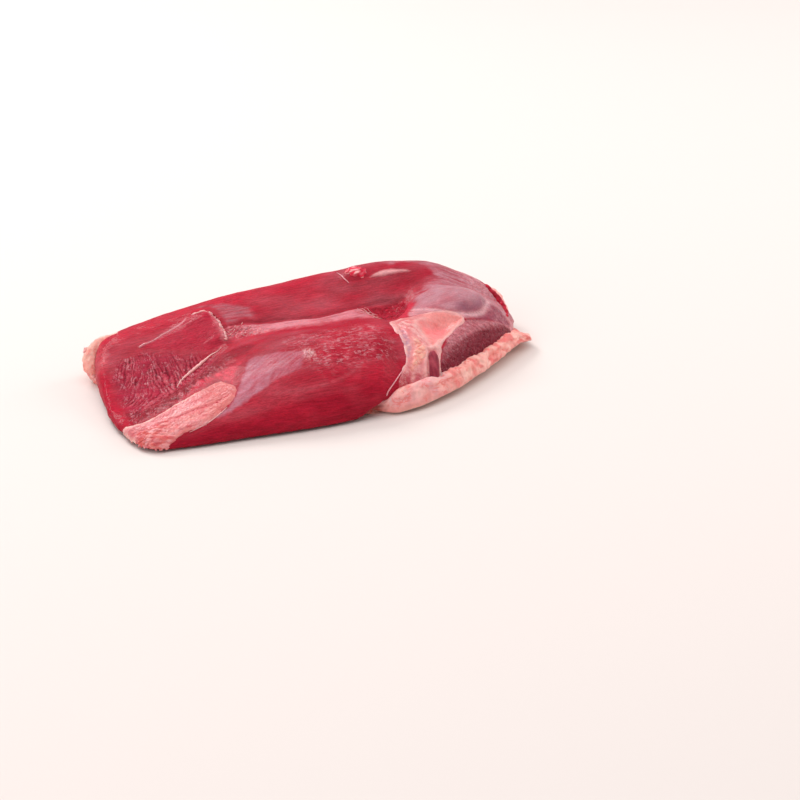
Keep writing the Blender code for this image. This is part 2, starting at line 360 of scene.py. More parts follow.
# The finely creased stretches and the tail's rim get a finer mesh, with a margin in mm round each.
at, up = places(meat), facing(meat)[:, 2]
detailed = np.zeros(len(at), dtype=bool)
for outline, margin in ((TROUGH, 1.5), (BLOCK, 1.5), (TORN_FLESH, 3), (PIT, 2), (CRINKLED, 0)):
    detailed |= within(outline, at) > -margin
detailed |= (away(curve_through(TORN_EDGE), at) < 4) | (away(curve_through(SLAB_EDGE), at) < 2)
detailed = (detailed & (up > 0)) | ((at[:, 0] < -86) & (up > -0.5))
edit(meat, bpy.ops.mesh.subdivide, detailed, number_cuts=1)
soften(meat, 2)

# Where the places lie in each stretch, from 0 outside it to 1 well inside.
at, up = places(meat), facing(meat)[:, 2]
x, y, z = at.T
ragged = 0.5 * lumps(at, 2.2, 1) + 0.8 * lumps(at, 6, 2)


def zone(outline, fade, rag=0.0):
    """1 inside an outline and 0 outside it, at the places in hand, with a soft and ragged edge."""
    return ease((within(outline, at) + rag * ragged) / fade)


trough = zone(TROUGH, 5, 1.5)
dark_floor = zone(DARK_FLOOR, 4, 1.2)
slab = zone(SLAB, 2, 0.4)
torn = zone(TORN_FLESH, 2, 0.8)
silver = zone(SILVERSKIN, 1.6, 0.8)
below_valley = groove(VALLEY, at + (0, 2.5, 0), 3.5)
pale_band = np.maximum(zone(PALE_BAND, 6, 1.8), zone(PALE_BAND, 2.5, 0.7) * below_valley)
crinkled = zone(CRINKLED, 7, 2)
pit = zone(PIT, 2.0, 0.5)
bulge = zone(BULGE, 2.4, 0.6)
film = zone(KEEL_FILM, 6, 2.5)
crest_sinew = zone(CREST_SINEW, 1.2, 0.3)
block = zone(BLOCK, 1.4, 0.4)
joint = ease((within(JOINT, at) - 0.5) / 2.2)
wing_end = ease((x - 74) / 8) * (1 - block) * (1 - bulge) * ease((z - 4) / 3)
tail_rim = groove(TAIL_RIM, at, 2.6)
tail_corner = ease((-84 - x) / 4) * ease((y - 20) / 8)
knot = peak(np.hypot(x - KNOT[0], 0.5 * (y - KNOT[1])), 2.0)

# Low waves all over, and long fine creases in the plain flesh.
relief = 0.20 * lumps(at, (15, 9, 9), 3) + 0.09 * lumps(at, (6, 3.6, 3.6), 4)
plain = (1 - silver) * (1 - trough) * (1 - bulge) * (1 - joint) * (1 - block) * (1 - pit) * (1 - 0.7 * slab)
relief += plain * 0.07 * (creases(turned(at, -4), (24, 1.5, 1.5), 5) - 0.6)

# The trough's folds, which lean more towards the tail, and rows of ridges on its dark floor.
patchy = 0.7 + 0.4 * lumps(at, 6, 6)
lean = np.interp(x, (-88, -80, -70, -58), (1.0, 0.7, 0.12, -0.16))
floor_folds = 0.65 * folds(at, lean, 2.2, 1.7, 7) + 0.35 * wrinkles(at, 75, 5, 1.4, 27)
folded = np.maximum(trough, dark_floor * ease((-38 - x) / 8)) * (1 - tail_rim)
folded = folded * (0.75 + 0.5 * lumps(at, 9, 28))
chain = ridges(turned(at, -6), 1.5, 1.1, 9)
relief += folded * 0.85 * (floor_folds - 0.8)
relief += dark_floor * 0.45 * patchy * (chain - 0.6) * ease((-44 - x) / 6)

# The cut and torn stretches are rough: the block, the wing end, the pit and the crinkled patch.
block_grain = wrinkles(at, -64, 5, 1.3, 11)
relief += block * 0.6 * patchy * (block_grain - 0.8)
relief += wing_end * 0.5 * (wrinkles(at, -40, 4.5, 1.3, 21) - 0.7)
relief += pit * (-1.3 + 0.5 * creases(at, 1.6, 13))
relief += torn * (0.25 + 0.55 * (creases(turned(at, 20), (2.4, 1.4, 1.4), 15) - 0.5))
crinkles = wrinkles(at, -14, 5, 1.3, 16)
relief += crinkled * 0.42 * (crinkles - 0.8)

# The bulge with its dome, the pale band, the cord, the knot and the sinew stand up. The flesh is sunk
# under the joint's lining, in its hollow and along the valley.
relief += bulge * 0.45 + 0.45 * pale_band + 0.5 * zone(RED_CORD, 1.5)
relief += knot * (0.4 + 0.4 * lumps(at, (1.2, 3, 3), 12))
relief += 0.35 * crest_sinew + 0.3 * tail_corner * lumps(at, 4, 10)
relief += zone(DOME, 4.5) * 1.4 - 0.5 * groove(DOME[4:8], at + (-0.6, 1.2, 0), 1.3)
relief += -0.8 * joint - 1.3 * zone(HOLLOW, 6)
relief += -0.8 * groove(VALLEY, at, 1.3) * ease((x + 38) / 3)

# The torn layer ends in a small cliff with a notch at its foot, which is painted dark as shade.
edge_x = np.interp(y, [p[1] for p in reversed(TORN_EDGE)], [p[0] for p in reversed(TORN_EDGE)])
past_tear = x - edge_x + 0.45 * lumps(at, 1.5, 17)
near_tear = ease((y - 15) / 4) * ease((38.0 - y) / 2) * (np.abs(past_tear) < 14)
relief += near_tear * 1.5 * (1 - ease(past_tear / 0.9 + 0.5)) * ease((past_tear + 12) / 12)
notch = near_tear * peak(past_tear - 0.9, 0.6) * (0.2 + 0.8 * ease((y - 26) / 4) * ease((37 - y) / 3))
relief += -0.9 * notch
torn_rim = near_tear * peak(past_tear + 0.6, 1.2) * (0.7 + 0.5 * lumps(at, 1.2, 18))

thick_enough = ease((z - 1.5) / 5)
upper = ease((up + 0.45) / 0.5)
swell(meat, (MEAT_SWELL + relief) * thick_enough * upper)

# The tail end is rounded off by evening out its rim alone.
rim_group = meat.vertex_groups.new(name="rim")
rounded = groove(TAIL_RIM, at, RIM_WIDTH) * (1 - 0.8 * tail_corner)
for corner in np.flatnonzero(rounded > 0.1).tolist():
    rim_group.add([corner], float(rounded[corner]), "REPLACE")
modify(meat, "SMOOTH", factor=0.5, iterations=RIM_PASSES, vertex_group="rim")


def paint(piece, name, values):
    """Keeps a value from 0 to 1 at every vertex for the material to read."""
    kept = np.zeros(len(piece.data.vertices), dtype=np.float32)
    kept[:] = np.clip(values, 0, 1)
    piece.data.attributes.new(name, "FLOAT", "POINT").data.foreach_set("value", kept)


def tint(piece, colours):
    """Keeps a colour at every vertex for the material to read."""
    kept = np.ones((len(piece.data.vertices), 4), dtype=np.float32)
    kept[:, :3] = np.clip(colours, 0, 1)
    piece.data.attributes.new("tint", "FLOAT_COLOR", "POINT").data.foreach_set("color", kept.ravel())


def layered(colours, *layers):
    """A colour under layers, each with a share from 0 to 1 at every vertex and a colour of its own."""
    colours = np.array(colours)
    for share, colour in layers:
        colours = colours + np.clip(share, 0, 1)[:, None] * (np.array(colour) - colours)
    return colours


class Finish:
    """A Principled material and short ways to add nodes to it."""

    def __init__(self, name):
        self.material = bpy.data.materials.new(name)
        self.material.use_nodes = True
        self.tree = self.material.node_tree
        self.shader = self.tree.nodes["Principled BSDF"]
        self.where = self.tree.nodes.new("ShaderNodeTexCoord").outputs["Object"]

    def add(self, kind, inputs=None, **settings):
        """A node of one kind, with its settings and its inputs, which are values or other sockets."""
        node = self.tree.nodes.new(kind)
        for key, value in settings.items():
            setattr(node, key, value)
        for key, value in (inputs or {}).items():
            self.join(value, node.inputs[key])
        return node

    def join(self, value, socket):
        """Gives an input a value, or links another node's output to it."""
        if isinstance(value, bpy.types.NodeSocket):
            self.tree.links.new(value, socket)
        else:
            socket.default_value = value

    def fix(self, **values):
        """Sets the shader's own sockets, which are named with _ for a space."""
        for name, value in values.items():
            self.shader.inputs[name.replace("_", " ")].default_value = value

    def painted(self, name, output="Fac"):
        """What was painted on the mesh: a value, or with output Color a colour."""
        return self.add("ShaderNodeAttribute", attribute_name=name).outputs[output]

    def math(self, operation, *values):
        """Arithmetic on one or two values."""
        return self.add("ShaderNodeMath", dict(enumerate(values)), operation=operation).outputs[0]

    def plus(self, first, second):
        """Two values added up."""
        return self.math("ADD", first, second)

    def minus(self, first, second):
        """What is left of the first value without the second."""
        return self.math("SUBTRACT", first, second)

    def times(self, first, second):
        """One value times another."""
        return self.math("MULTIPLY", first, second)

    def scaled(self, colour, factor):
        """A colour made lighter or darker by a factor."""
        return self.add("ShaderNodeVectorMath", {0: colour, 3: factor}, operation="SCALE").outputs[0]

    def mix(self, share, first, second):
        """From the first colour to the second, by a share from 0 to 1."""
        node = self.add("ShaderNodeMix", {0: share, 6: first, 7: second}, data_type="RGBA")
        return node.outputs[2]

    def between(self, value, low, high, start=0.0, end=1.0):
        """The start where a value is at its low mark, the end at its high mark, smooth between them."""
        inputs = {"Value": value, "From Min": low, "From Max": high, "To Min": start, "To Max": end}
        node = self.add("ShaderNodeMapRange", inputs, interpolation_type="SMOOTHSTEP")
        return node.outputs["Result"]

    def grain(self, size, stretch=(1, 1, 1), turn=0.0, detail=3.0, warp=0.0):
        """Noise from 0 to 1 with lumps of a size in mm, stretched along a direction turned about Z."""
        inputs = {"Vector": self.where, "Rotation": (0, 0, math.radians(-turn))}
        place = self.add("ShaderNodeMapping", inputs, vector_type="POINT").outputs[0]
        inputs = {"Vector": place, "Scale": tuple(1 / s for s in stretch)}
        place = self.add("ShaderNodeMapping", inputs, vector_type="POINT").outputs[0]
        inputs = {"Vector": place, "Scale": 1 / (size * MM), "Detail": detail, "Distortion": warp}
        return self.add("ShaderNodeTexNoise", inputs).outputs["Fac"]

    def hair_lines(self, size, stretch, turn, share):
        """Short fine lines in a painted area, 0 to 1."""
        wave = self.minus(self.grain(size, stretch, turn=turn, detail=4, warp=0.8), 0.5)
        line = self.between(self.math("ABSOLUTE", wave), 0.0, 0.07, 1.0, 0.0)
        broken = self.between(self.grain(1.6 * size, detail=2), 0.44, 0.58)
        return self.times(self.times(line, broken), self.painted(share))

    def surface(self, colour, roughness):
        """Sets the colour and the roughness from other nodes' outputs."""
        self.join(colour, self.shader.inputs["Base Color"])
        self.join(roughness, self.shader.inputs["Roughness"])

    def dress(self, piece, height, depth):
        """Puts the finish on a piece, with a bump of a depth in mm."""
        bump = self.add("ShaderNodeBump", {"Height": height, "Distance": depth * MM, "Strength": 1.0})
        self.join(bump.outputs[0], self.shader.inputs["Normal"])
        piece.data.materials.append(self.material)


CRIMSON = (0.46, 0.012, 0.034)
DEEP_RED = (0.31, 0.005, 0.020)
BRIGHT_RED = (0.52, 0.016, 0.042)
SLAB_RED = (0.43, 0.014, 0.040)
WINE = (0.38, 0.015, 0.045)
DARK_WINE = (0.20, 0.004, 0.014)
ROSE = (0.54, 0.085, 0.115)
MAROON = (0.20, 0.014, 0.028)
DUSKY_PINK = (0.42, 0.11, 0.14)
LILAC = (0.49, 0.22, 0.26)
SILVER_LILAC = (0.50, 0.18, 0.235)

# The keel's rim is painted brighter red, as light glowing through its thin flesh.
keel_rim_glow = ease((y - 33) / 7) * ease((30 - x) / 20)
# A painted shadow just above the valley's crease.
valley_shadow = groove(VALLEY, at + (0, -1.8, 0), 2.2) * ease((x + 26) / 6)
# Painted sheen: a pale patch above the valley and pale patches further on.
painted_sheen = peak(np.hypot(x - 11, y - 26.5), 5)
painted_sheen += 0.4 * ease(2 * lumps(at, (12, 9, 9), 37) - 0.6) * ease((x + 34) / 6)
# A painted sheen: a dusky pink cast on the upward faces of the plain flesh.
upward_sheen = plain * (0.06 + 0.16 * ease((y - 12) / 8) + 0.24 * lumps(turned(at, -4), (18, 7, 9), 44))
upward_sheen *= ease((up - 0.45) / 0.3)
# Painted shade on the low front flank, darker towards the foot.
low_flank_shade = plain * ease((10 - z) / 7) * ease((-28 - y) / 6)
# Painted highlights on the ridges of the folds.
shine = folded * (1 - 0.3 * dark_floor) * ease((floor_folds - 0.80) / 0.14)
fine_lines = 0.5 + 1.2 * lumps(turned(at, -10), (12, 0.8, 3), 38)
red_threads = 0.8 + 0.4 * lumps(turned(at, 110), (3, 0.9, 0.9), 42)
# The block's upward faces get a painted sheen.
block_top_sheen = ease((up - 0.55) / 0.3) * (0.8 + 0.4 * lumps(turned(at, -64), (4, 1.2, 2), 43))
streaks = 0.62 + 0.5 * lumps(turned(at, -18), (16, 1.4, 16), 34)
streaks += 0.4 * lumps(turned(at, -18), (9, 0.7, 9), 30)
left_to_right = ease((x + 50) / 30)
silver_streaks = 0.95 - 0.50 * left_to_right + 0.40 * lumps(turned(at, 24), (11, 0.7, 1.5), 36)
bottom = ease((-0.15 - up) / 0.3)
tint(meat, layered(
    CRIMSON,
    # Plain flesh: patches, the keel's rim with a painted glow, a painted shadow above the valley, painted
    # sheen, and painted shade on the low flank.
    (0.35 + 0.45 * lumps(at, (26, 14, 14), 31), DEEP_RED),
    (0.6 * keel_rim_glow, BRIGHT_RED),
    (0.40 * valley_shadow, DARK_WINE),
    (0.35 * painted_sheen, ROSE),
    (upward_sheen * (1 - dark_floor) * (1 - keel_rim_glow), DUSKY_PINK),
    (0.5 * low_flank_shade, DEEP_RED),
    # Tail end: the torn layer, and the trough with its folds, with painted shade in their creases and
    # painted highlights on their ridges.
    (0.8 * slab, SLAB_RED),
    (0.85 * trough * (1 - slab), WINE),
    (0.7 * dark_floor, DARK_WINE),
    # Painted shade in the folds' creases.
    (0.9 * folded * ease((0.80 - floor_folds) / 0.35), (0.14, 0.002, 0.010)),
    (0.8 * shine * (0.5 + 1.0 * lumps(at, 3, 29)), ROSE),
    # Middle: the pale band, streaks, crinkled patch with painted highlights on its ridges and painted shade
    # in its creases, and torn flesh.
    (pale_band * (0.9 + 0.35 * lumps(turned(at, -4), (14, 2, 2), 32)), (0.65, 0.22, 0.26)),
    (zone(STREAKED, 3, 1.0) * (1 - slab) * (0.45 + 0.5 * fine_lines), DUSKY_PINK),
    (0.5 * crinkled * ease((crinkles - 0.7) / 0.3) * (0.5 + lumps(at, (5, 4, 4), 33)), ROSE),
    (0.7 * crinkled * ease((0.8 - crinkles) / 0.6), DEEP_RED),
    (0.45 * groove(SOFT_LINE, at, 0.6) * (0.7 + 0.6 * lumps(at, 2, 47)), ROSE),
    (torn * (0.45 + 0.8 * lumps(turned(at, 20), (2.6, 1.2, 1.2), 15)), (0.62, 0.15, 0.18)),
    (0.8 * zone(FAN, 2, 0.5) * fine_lines, (0.66, 0.22, 0.25)),
    # Rim of the tail, pit and its cord, and the red veil beside the fat strip.
    (0.8 * tail_rim, CRIMSON),
    (tail_corner * (0.4 + 0.3 * lumps(at, 4, 10)), (0.60, 0.12, 0.14)),
    (0.6 * pit, BRIGHT_RED),
    (0.6 * pit * (0.7 - 0.6 * lumps(at, 1.2, 39)), DARK_WINE),
    (0.8 * zone(RED_CORD, 1.0), (0.58, 0.03, 0.06)),
    (0.9 * zone(RED_VEIL, 3, 0.5) * red_threads, (0.66, 0.045, 0.08)),
    # Wing end: the dark block with painted sheen on its top faces and painted shade in its grain's creases,
    # the cut end, and the bulge under its lilac film.
    (block * (0.95 - 0.4 * ease((up - 0.5) / 0.4)), MAROON),
    (0.9 * block * block_top_sheen, (0.56, 0.19, 0.22)),
    (wing_end * (0.7 + 0.4 * lumps(at, (3, 2, 2), 40)), (0.66, 0.29, 0.32)),
    # Painted shade in the block's grain creases.
    (0.7 * block * ease((0.75 - block_grain) / 0.6), (0.09, 0.004, 0.010)),
    (film * 0.9 * streaks, LILAC),
    # Painted shadow at the bulge's foot.
    (zone(BULGE_FOOT_SHADOW, 1.5, 0.4) * (0.85 + 0.4 * lumps(at, (3, 1.2, 1.2), 41)), (0.30, 0.05, 0.085)),
    (bulge * (0.85 + 0.25 * lumps(at, (6, 4, 4), 35)), LILAC),
    # Painted shadow along the dome's lower edge.
    (0.75 * groove(DOME[4:8], at + (0.6, -0.9, 0), 2.2), (0.30, 0.10, 0.15)),
    (0.85 * zone(BULGE_LIP, 1.5, 0.4), (0.66, 0.29, 0.32)),
    # A painted highlight line along the bulge's pale rim.
    (0.85 * groove(BULGE_RIM, at, 0.9), (0.74, 0.40, 0.43)),
    # Silverskin, knot, crest sinew, and the edges of the torn layer, with painted shade in the notch at the
    # cliff's foot.
    (silver * silver_streaks, SILVER_LILAC),
    (knot * (0.5 + 0.9 * lumps(turned(at, 60), (3, 0.7, 0.7), 12)), (0.80, 0.48, 0.48)),
    (0.9 * crest_sinew, (0.76, 0.36, 0.37)),
    (0.85 * notch, DARK_WINE),
    (0.7 * torn_rim, (0.72, 0.28, 0.31)),
    (0.7 * groove(SLAB_EDGE, at, 0.45), (0.70, 0.27, 0.31)),
    (bottom, DEEP_RED),
))
paint(meat, "smooth_film", np.maximum(np.maximum(bulge, 0.7 * silver), 0.4 * film))
paint(meat, "coarse", np.maximum(np.maximum(trough, block), np.maximum(pit, torn)))
hairy = np.maximum(crinkled, 0.7 * torn + 0.6 * wing_end + 0.3 * pale_band + 0.3 * film + 0.3 * bulge)
paint(meat, "hairs", hairy * (1 - bottom))
# Where painted glints lie: on the folds' ridges.
paint(meat, "folded", 1.5 * folded * ease((floor_folds - 0.6) / 0.25))
paint(meat, "matte", groove(TAIL_RIM, at, 6))
paint(meat, "film", (film * (1 - bulge) + 0.5 * bulge + 0.5 * silver) * (1 - bottom))
# Pale cut fibres, painted stronger on upward faces as glints.
cut_end_glints = np.maximum(block * (0.3 + 0.8 * ease((up - 0.5) / 0.3)), wing_end)
paint(meat, "cut_end_glints", cut_end_glints * (1 - bottom))

flesh = Finish("moist_flesh")
fibre = flesh.grain(0.6, (10, 1, 1), turn=-4, detail=4, warp=0.3)
fine = flesh.grain(0.42, (2.2, 1, 1), turn=-4, detail=3)
mottle = flesh.grain(3.5, (2, 1, 1), turn=-4, detail=4)
plain_share = flesh.minus(1.0, flesh.painted("smooth_film"))
fibrous = flesh.times(flesh.between(fibre, 0.3, 0.7, -0.17, 0.15), plain_share)
shade = flesh.plus(flesh.between(mottle, 0.3, 0.7, 0.93, 1.06), fibrous)
shade = flesh.plus(shade, flesh.between(fine, 0.3, 0.7, -0.10, 0.10))
colour = flesh.scaled(flesh.painted("tint", "Color"), shade)

film_gaps = flesh.between(flesh.grain(0.7, (7, 1, 1), turn=-12, detail=4, warp=0.6), 0.46, 0.62)
film_gaps = flesh.times(flesh.times(film_gaps, flesh.painted("film")), 0.45)
colour = flesh.mix(film_gaps, colour, (0.36, 0.055, 0.085, 1))
# Pale lines: membrane hairs, cut fibres with painted glints, and painted glints on the fold ridges.
hairs = flesh.hair_lines(1.6, (4, 1, 1.5), -14, "hairs")
cut_fibre_glints = flesh.hair_lines(1.1, (5, 1, 1.5), -62, "cut_end_glints")
glints = flesh.hair_lines(1.7, (2.5, 1, 1.5), 78, "folded")
hairs = flesh.math("MAXIMUM", flesh.math("MAXIMUM", hairs, cut_fibre_glints), glints)
colour = flesh.mix(flesh.times(hairs, 0.6), colour, (0.68, 0.30, 0.34, 1))
roughness = flesh.between(mottle, 0.35, 0.65, 0.34, 0.48)
roughness = flesh.plus(roughness, flesh.times(flesh.painted("matte"), 0.4))
flesh.surface(colour, roughness)
WET = {
    "IOR": 1.36, "Specular_IOR_Level": 0.12, "Subsurface_Weight": 0.25,
    "Subsurface_Radius": (1.0, 0.25, 0.18), "Subsurface_Scale": 1.0 * MM,
    "Coat_Weight": 0.13, "Coat_Roughness": 0.10, "Coat_IOR": 1.33,
}
flesh.fix(**WET)
rough_share = flesh.between(flesh.painted("coarse"), 0.0, 1.0, 0.5, 1.6)
height = flesh.plus(flesh.times(fibre, plain_share), flesh.times(fine, rough_share))
height = flesh.plus(height, flesh.times(hairs, 0.5))
flesh.dress(meat, height, depth=0.22)
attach(meat, "root")
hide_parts("breast_muscle")

# Outer fat strip.
# A strip of fat and membrane left on the outer tail corner when the breast was trimmed. It is peeled
# off the flesh's own surface, so that it lies on it closely.

FAT_STRIP = (
    (-95.2, -17.4), (-91, -21), (-84.8, -22.6), (-77.7, -21.6), (-70.8, -20.6), (-63.8, -19.8),
    (-58, -19.1), (-53, -18.5), (-49.8, -22.5), (-47.4, -27.3), (-49.3, -30.7), (-52.3, -33.5),
    (-56.2, -35.2), (-60.5, -36.5), (-65.4, -37.3), (-73.7, -37.4), (-79.5, -38), (-84, -38.6), (-89, -36),
    (-92.5, -30), (-94.5, -24),
)
FAT_FOLD = ((-90, -27), (-80, -28.5), (-70, -29.5), (-62, -30.5), (-55, -30))
FAT_THICKNESS = 0.7
CREAM = (0.84, 0.38, 0.385)
FAT_PINK = (0.70, 0.17, 0.19)
BLUSH = (0.60, 0.06, 0.085)


def peel(name, outline, margin, cuts):
    """A finer copy of the flesh's surface inside an outline and a margin in mm round it."""
    piece = copy_of(meat.data, name)
    piece.vertex_groups.clear()
    for painted in ("tint", "smooth_film", "coarse", "hairs", "cut_end_glints", "folded", "matte", "film"):
        piece.data.attributes.remove(piece.data.attributes[painted])
    kept = (within(outline, places(piece)) > -margin) & (facing(piece)[:, 2] > -0.6)
    edit(piece, bpy.ops.mesh.delete, kept, others=True, type="FACE")
    edit(piece, bpy.ops.mesh.subdivide, number_cuts=cuts)
    soften(piece, 2)
    return piece


def edge_rise(inside, width):
    """A rounded edge: 0 on the outline, 1 at a width inside it, and sunk outside it."""
    return np.where(inside > 0, np.sqrt(np.clip(inside / width, 0, 1)), np.maximum(inside, -1))


fat_strip = peel("outer_fat_strip", FAT_STRIP, margin=1.2, cuts=2)
at = places(fat_strip)
x, y, z = at.T
inside = within(FAT_STRIP, at) + 0.3 * lumps(at, 1.8, 41) + 0.4 * lumps(at, 6, 42)
lower_half = ease((-27 - y + 1.5 * lumps(at, 6, 46)) / 2)
fold = groove(FAT_FOLD, at, 0.8)
ribbed = ease((x + 66) / 8)
relief = (0.75 - 0.45 * ribbed) * edge_rise(inside, 1.6) - 0.30 * fold
relief += 0.25 * lower_half * (1 - fold) * (1 - ribbed)
relief += 0.15 * lumps(turned(at, 10), (9, 2.4, 2.4), 43) * ease(inside)
relief += 0.09 * ribbed * (ridges(turned(at, 96), 0.8, 0.9, 44) - 0.5) * ease(inside)
flakes = creases(turned(at, 15), (2.2, 1.0, 1.0), 47)
relief += 0.20 * ease(inside) * (flakes - 0.6)
relief += 0.5 * ease((-74 - x) / 8) * lower_half * (creases(turned(at, -20), (6, 1.8, 1.8), 50) - 0.6)
swell(fat_strip, relief)
upper_edge = (1 - ease((inside - 0.5) / 1.2)) * (1 - lower_half) * (1 - 0.5 * ribbed)
ragged_end = ease((-74 - x) / 8) * lower_half
veil = ease((x + 64) / 9) * (1 - lower_half)
tint(fat_strip, layered(
    FAT_PINK,
    (0.45 + 0.6 * lumps(turned(at, 10), (9, 2.5, 2.5), 45), CREAM),
    (0.5 * (1 - flakes), BLUSH),
    (0.9 * upper_edge, (0.95, 0.53, 0.47)),
    (0.5 * (1 - ribbed) * lower_half * (0.4 + 0.6 * lumps(at, (5, 1.5, 1.5), 48)), (0.80, 0.24, 0.21)),
    (0.75 * ribbed * np.maximum(lower_half, 0.4), (0.68, 0.17, 0.155)),
    (0.8 * ragged_end * ease(2.5 * lumps(turned(at, -20), (5, 1.3, 1.3), 50)), (0.66, 0.09, 0.08)),
    (0.6 * veil, (0.60, 0.10, 0.10)),
    (0.45 * fold + 0.5 * lower_half * ease(3 * lumps(at, (3, 1.2, 1.2), 49) - 0.8), BLUSH),
))
modify(fat_strip, "SOLIDIFY", thickness=FAT_THICKNESS * MM, offset=-1)

fat = Finish("soft_fat")
speckle = fat.grain(2.0, (2, 1, 1), turn=10, detail=4)
shade = fat.between(speckle, 0.3, 0.7, 0.93, 1.05)
fat.surface(fat.scaled(fat.painted("tint", "Color"), shade), fat.between(speckle, 0.35, 0.65, 0.38, 0.50))
FATTY = {
    "IOR": 1.38, "Specular_IOR_Level": 0.35, "Subsurface_Weight": 0.30,
    "Subsurface_Radius": (1.0, 0.45, 0.35), "Subsurface_Scale": 1.2 * MM,
    "Coat_Weight": 0.22, "Coat_Roughness": 0.14, "Coat_IOR": 1.33,
}
fat.fix(**FATTY)
fat.dress(fat_strip, fat.plus(speckle, fat.grain(0.6, (2, 1, 1), turn=10, detail=2)), depth=0.15)
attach(fat_strip, "root")

# Tendon, threads and torn fibres.
# White strands of connective tissue that stayed on the flesh when it was pulled off the bone: one
# flat tendon over the trough, the lip of the torn layer, and fine threads where membranes parted.

TENDON = (
    (-64.2, 3.0, 0.0, 0.10), (-63.3, 4.3, 0.05, 0.22), (-61, 7.2, 0.05, 0.34), (-56.4, 9.4, 0.15, 0.66),
    (-51.1, 11.0, 0.2, 0.74), (-45.6, 12.4, 0.05, 0.36), (-42.2, 12.6, 0.0, 0.16), (-40, 13.6, 0.0, 0.10),
)
THINNEST = 0.03
END_SHARE = 0.35
STRAND_DOUBLES = 0.005
TENDON_PINK = (0.84, 0.44, 0.42)
FIBRE_PINK = (0.80, 0.38, 0.38)
THREAD_PINK = (0.76, 0.31, 0.34)

flesh_tree = BVHTree.FromObject(meat, bpy.context.evaluated_depsgraph_get())


def on_flesh(x, y, lift=0.0):
    """The place on top of the flesh at a place in plan, lifted off it by some mm."""
    spot, normal, _, _ = flesh_tree.ray_cast(Vector((x, y, 60)) * MM, Vector((0, 0, -1)))
    if spot is None:
        spot, normal, _, _ = flesh_tree.find_nearest(Vector((x, y, 2)) * MM)
    return spot / MM + normal * lift


def strands(name, lines, colour, sides):
    """Tapered strands that lie on the flesh; each line's points are (x, y, lift, radius) in mm."""
    curve = bpy.data.curves.new(name, "CURVE")
    curve.dimensions = "3D"
    curve.bevel_depth = MM
    curve.bevel_resolution = sides
    curve.use_fill_caps = True
    for line in lines:
        samples = curve_through(line, steps=6)
        spline = curve.splines.new("POLY")
        spline.points.add(len(samples) - 1)
        for point, (x, y, lift, radius) in zip(spline.points, samples):
            point.co = (*(on_flesh(x, y, lift) * MM), 1)
            point.radius = max(radius, THINNEST)
    piece = bpy.data.objects.new(name, curve)
    bpy.context.scene.collection.objects.link(piece)
    only(piece)
    bpy.ops.object.convert(target="MESH")
    edit(piece, bpy.ops.mesh.remove_doubles, threshold=STRAND_DOUBLES * MM)
    push(piece, places(piece))
    tint(piece, colour)
    return piece


def thread(points, lift, radius):
    """A thin line on the flesh through points in plan, thinner towards both ends."""
    ends = (0, len(points) - 1)
    return [(x, y, lift, radius * (END_SHARE if i in ends else 1)) for i, (x, y) in enumerate(points)]


sinew = Finish("pale_sinew")
speckle = sinew.grain(0.6, detail=3)
shade = sinew.between(speckle, 0.3, 0.7, 0.85, 1.12)
sinew.surface(sinew.scaled(sinew.painted("tint", "Color"), shade), 0.36)
sinew.fix(**FATTY)

tendon = strands("trough_tendon", [TENDON], TENDON_PINK, sides=3)
sinew.dress(tendon, speckle, depth=0.1)
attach(tendon, "root")

draw = random.Random(5)
TORN_MIDDLES = ((-33, 21), (-30, 24), (-27, 22), (-29, 19), (-24, 20))
PIT_MIDDLES = ((27.5, 13), (26, 9), (26, 4), (26.5, -1))
STRIP_THREAD = ((-54, -34.7), (-57, -35.8), (-61, -37), (-66, -37.8), (-72, -38))


def torn_fibres(middles, count, spread, length, radius):
    """Short loose fibres scattered round some places, each lying its own way."""
    fibres = []
    for _ in range(count):
        x, y = draw.choice(middles)
        x, y = x + draw.gauss(0, spread), y + draw.gauss(0, spread)
        way, reach = draw.uniform(-0.9, 0.9), draw.uniform(0.5, 1.0) * length
        bend = draw.uniform(-0.6, 0.6)
        fibre = []
        for t in (0, 0.33, 0.67, 1):
            turn = way + bend * t
            lift = 0.25 * math.sin(math.pi * t) * draw.uniform(0.3, 1)
            size = radius * draw.uniform(0.6, 1) * (1 if 0 < t < 1 else 0.3)
            fibre.append((x + reach * t * math.cos(turn), y + reach * t * math.sin(turn), lift, size))
        fibres.append(fibre)
    return fibres


torn_lip = [
    (x - 0.2 + draw.gauss(0, 0.22), y - 0.4 + draw.gauss(0, 0.15), 0.05, draw.uniform(0.30, 0.75))
    for x, y in curve_through(TORN_EDGE, steps=4)[3:]
]
torn_lip[0] = (*torn_lip[0][:3], 0.12)  # a thin start
fibres = torn_fibres(curve_through(TORN_EDGE)[18:], count=16, spread=0.5, length=1.8, radius=0.16)
fibres += torn_fibres(TORN_MIDDLES, count=16, spread=1.8, length=2.2, radius=0.16)
fibres.append(thread(STRIP_THREAD, lift=0.1, radius=0.24))
fibres += torn_fibres(PIT_MIDDLES, count=22, spread=0.8, length=2.6, radius=0.14)
torn_edge = strands("torn_edge_fibres", [torn_lip] + fibres, FIBRE_PINK, sides=1)
torn_edge.data.materials.append(sinew.material)
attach(torn_edge, "root")

